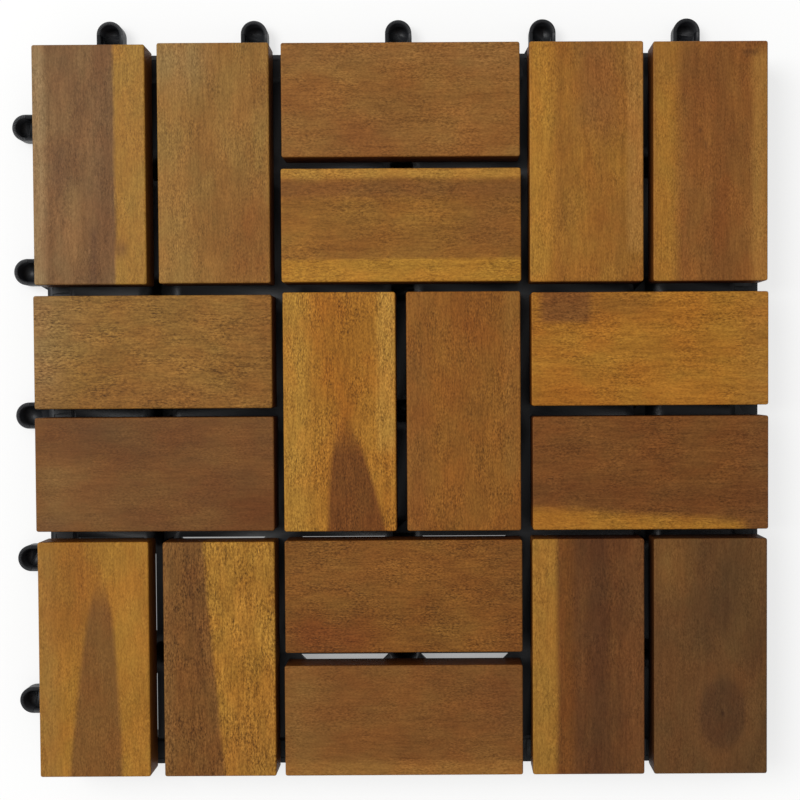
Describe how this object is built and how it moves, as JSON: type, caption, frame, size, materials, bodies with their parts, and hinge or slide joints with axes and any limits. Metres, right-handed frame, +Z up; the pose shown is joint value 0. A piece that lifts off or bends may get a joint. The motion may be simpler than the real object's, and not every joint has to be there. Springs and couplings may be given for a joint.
{
  "type": "interlocking deck tile",
  "caption": "Square deck tile of hardwood slats in a basket weave, screwed to a moulded lattice base with sockets on two sides and pegs on the other two.",
  "frame": {"origin": "on the floor, in the middle of the square module, under the centre of the tile", "axes": "+Z up, out of the deck face; sockets stand out along -X and +Y, and pegs lie inside the +X and -Y sides"},
  "size_m": [0.3103, 0.3103, 0.024],
  "materials": {
    "base_plastic": "moulded black polypropylene, slightly satin",
    "slat_wood": "oiled acacia, brown to honey, straight grain",
    "screw_steel": "zinc-plated steel"
  },
  "bodies": {
    "root": {"base_grid": "base_plastic", "slat_nw_left": "slat_wood", "slat_nw_right": "slat_wood", "slat_n_upper": "slat_wood", "slat_n_lower": "slat_wood", "slat_ne_left": "slat_wood", "slat_ne_right": "slat_wood", "slat_w_upper": "slat_wood", "slat_w_lower": "slat_wood", "slat_c_left": "slat_wood", "slat_c_right": "slat_wood", "slat_e_upper": "slat_wood", "slat_e_lower": "slat_wood", "slat_sw_left": "slat_wood", "slat_sw_right": "slat_wood", "slat_s_upper": "slat_wood", "slat_s_lower": "slat_wood", "slat_se_left": "slat_wood", "slat_se_right": "slat_wood", "slat_screws": "screw_steel"}
  },
  "joints": []
}
